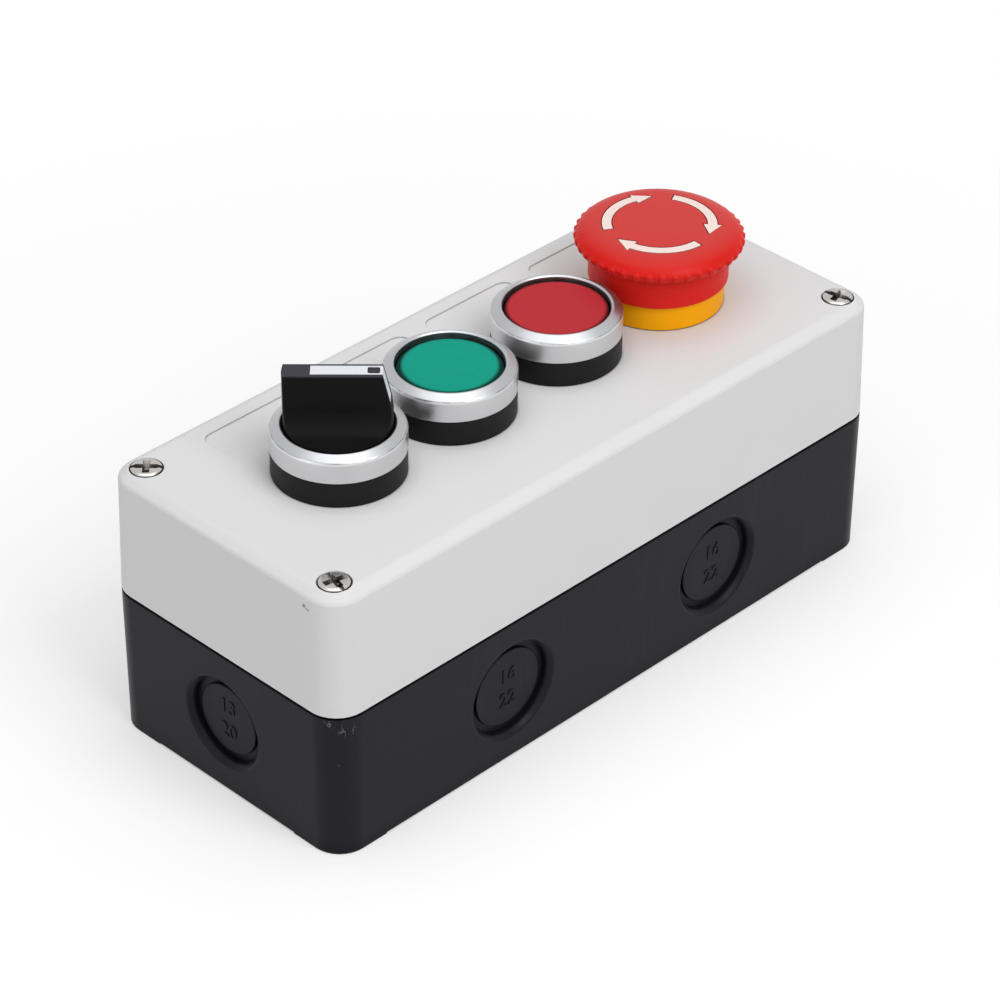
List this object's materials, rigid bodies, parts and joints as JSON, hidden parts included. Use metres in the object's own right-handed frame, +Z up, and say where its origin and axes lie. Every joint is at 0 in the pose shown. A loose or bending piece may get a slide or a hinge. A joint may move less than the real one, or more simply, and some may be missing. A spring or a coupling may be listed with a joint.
{
  "type": "emergency stop control box",
  "caption": "Long control box with a knob selector, lit green and red push-buttons and a twist-release emergency stop head on a split moulded case.",
  "frame": {"origin": "middle of the box's footprint, on the surface that its feet stand on", "axes": "+X along the box from the selector to the stop head, +Y towards the name recesses, +Z up through the panel"},
  "size_m": [0.173, 0.0732, 0.093],
  "materials": {
    "base_plastic": "moulded charcoal plastic with a fine semi-gloss grain",
    "cover_plastic": "moulded light grey plastic with a fine matte grain",
    "seal_rubber": "matte black sealing rubber",
    "screw_steel": "nickel-plated steel",
    "device_black": "moulded black plastic",
    "bezel_metal": "satin chrome plating",
    "grip_black": "moulded black plastic, soft matte",
    "pointer_white": "moulded white plastic",
    "cam_acetal": "moulded amber acetal",
    "lens_green": "moulded translucent green plastic",
    "lens_red": "moulded translucent red plastic",
    "diffuser_opal": "opal white plastic",
    "plunger_nylon": "natural nylon",
    "lamp_green": "clear lamp capsule with a green tint",
    "lamp_red": "clear lamp capsule with a red tint",
    "spring_steel": "drawn spring wire",
    "ring_yellow": "moulded yellow plastic",
    "collar_red": "moulded red plastic",
    "head_red": "moulded red plastic, satin",
    "arrow_cream": "moulded cream plastic, a second shot in the head",
    "nut_black": "moulded glass-filled plastic",
    "holder_grey": "moulded glass-filled plastic",
    "block_grey": "moulded blue-grey plastic",
    "stem_ivory": "moulded ivory plastic",
    "contact_copper": "copper alloy strip with silver tips",
    "contact_brass": "brass strip with silver tips",
    "terminal_steel": "zinc-plated steel"
  },
  "bodies": {
    "housing": {"base_box": "base_plastic", "cover": "cover_plastic", "cover_seal": "seal_rubber", "cover_screws": "screw_steel", "selector_body": "device_black", "selector_bezel": "bezel_metal", "selector_panel_seal": "seal_rubber", "green_body": "device_black", "green_bezel": "bezel_metal", "green_panel_seal": "seal_rubber", "green_return_spring": "spring_steel", "green_lamp": "lamp_green", "red_body": "device_black", "red_bezel": "bezel_metal", "red_panel_seal": "seal_rubber", "red_return_spring": "spring_steel", "red_lamp": "lamp_red", "stop_body": "device_black", "stop_ring": "ring_yellow", "stop_collar": "collar_red", "stop_panel_seal": "seal_rubber", "stop_return_spring": "spring_steel", "fixing_nuts": "nut_black", "selector_block_holder": "holder_grey", "green_block_holder": "holder_grey", "red_block_holder": "holder_grey", "stop_block_holder": "holder_grey", "selector_block": "block_grey", "green_block": "block_grey", "red_block": "block_grey", "stop_block": "block_grey", "selector_stem_spring": "spring_steel", "green_stem_spring": "spring_steel", "red_stem_spring": "spring_steel", "stop_stem_spring": "spring_steel", "fixed_contacts": "contact_brass", "terminal_screws": "terminal_steel"},
    "selector_rotor": {"selector_grip": "grip_black", "selector_pointer": "pointer_white", "selector_cam": "cam_acetal"},
    "selector_carrier": {"selector_stem": "stem_ivory", "selector_bridge": "contact_copper"},
    "green_button": {"green_lens": "lens_green", "green_diffuser": "diffuser_opal", "green_plunger": "plunger_nylon"},
    "green_carrier": {"green_stem": "stem_ivory", "green_bridge": "contact_copper"},
    "red_button": {"red_lens": "lens_red", "red_diffuser": "diffuser_opal", "red_plunger": "plunger_nylon"},
    "red_carrier": {"red_stem": "stem_ivory", "red_bridge": "contact_copper"},
    "stop_plunger": {"stop_shaft": "plunger_nylon"},
    "stop_knob": {"stop_head": "head_red", "stop_arrows": "arrow_cream"},
    "stop_carrier": {"stop_stem": "stem_ivory", "stop_bridge": "contact_copper"}
  },
  "joints": [
    {"name": "selector_turn", "type": "hinge", "parent": "housing", "child": "selector_rotor", "pos_m": [-0.05025, 0, 0.0678], "axis": [0, 0, 1], "range_deg": [0, 90]},
    {"name": "selector_contact", "type": "slide", "parent": "housing", "child": "selector_carrier", "axis": [0, 0, -1], "range_m": [0, 0.003], "deforming": ["selector_stem_spring"]},
    {"name": "green_press", "type": "slide", "parent": "housing", "child": "green_button", "axis": [0, 0, -1], "range_m": [0, 0.0035], "stiffness_N_per_m": 600, "springref_m": -0.0005, "deforming": ["green_return_spring"]},
    {"name": "green_contact", "type": "slide", "parent": "housing", "child": "green_carrier", "axis": [0, 0, -1], "range_m": [0, 0.0035], "deforming": ["green_stem_spring"]},
    {"name": "red_press", "type": "slide", "parent": "housing", "child": "red_button", "axis": [0, 0, -1], "range_m": [0, 0.0035], "stiffness_N_per_m": 600, "springref_m": -0.0005, "deforming": ["red_return_spring"]},
    {"name": "red_contact", "type": "slide", "parent": "housing", "child": "red_carrier", "axis": [0, 0, -1], "range_m": [0, 0.0035], "deforming": ["red_stem_spring"]},
    {"name": "stop_press", "type": "slide", "parent": "housing", "child": "stop_plunger", "axis": [0, 0, -1], "range_m": [0, 0.003], "stiffness_N_per_m": 2500, "springref_m": -0.0005, "deforming": ["stop_return_spring"]},
    {"name": "stop_twist", "type": "hinge", "parent": "stop_plunger", "child": "stop_knob", "pos_m": [0.05025, 0, 0.0678], "axis": [0, 0, 1], "range_deg": [-40, 0], "stiffness_Nm_per_rad": 0.05},
    {"name": "stop_contact", "type": "slide", "parent": "housing", "child": "stop_carrier", "axis": [0, 0, -1], "range_m": [0, 0.003], "deforming": ["stop_stem_spring"]}
  ],
  "couplings": [
    {"joint": "selector_turn", "follows": "selector_contact", "rad_per_m": 523.6},
    {"joint": "green_contact", "follows": "green_press", "ratio": 1},
    {"joint": "red_contact", "follows": "red_press", "ratio": 1},
    {"joint": "stop_contact", "follows": "stop_press", "ratio": 1}
  ]
}
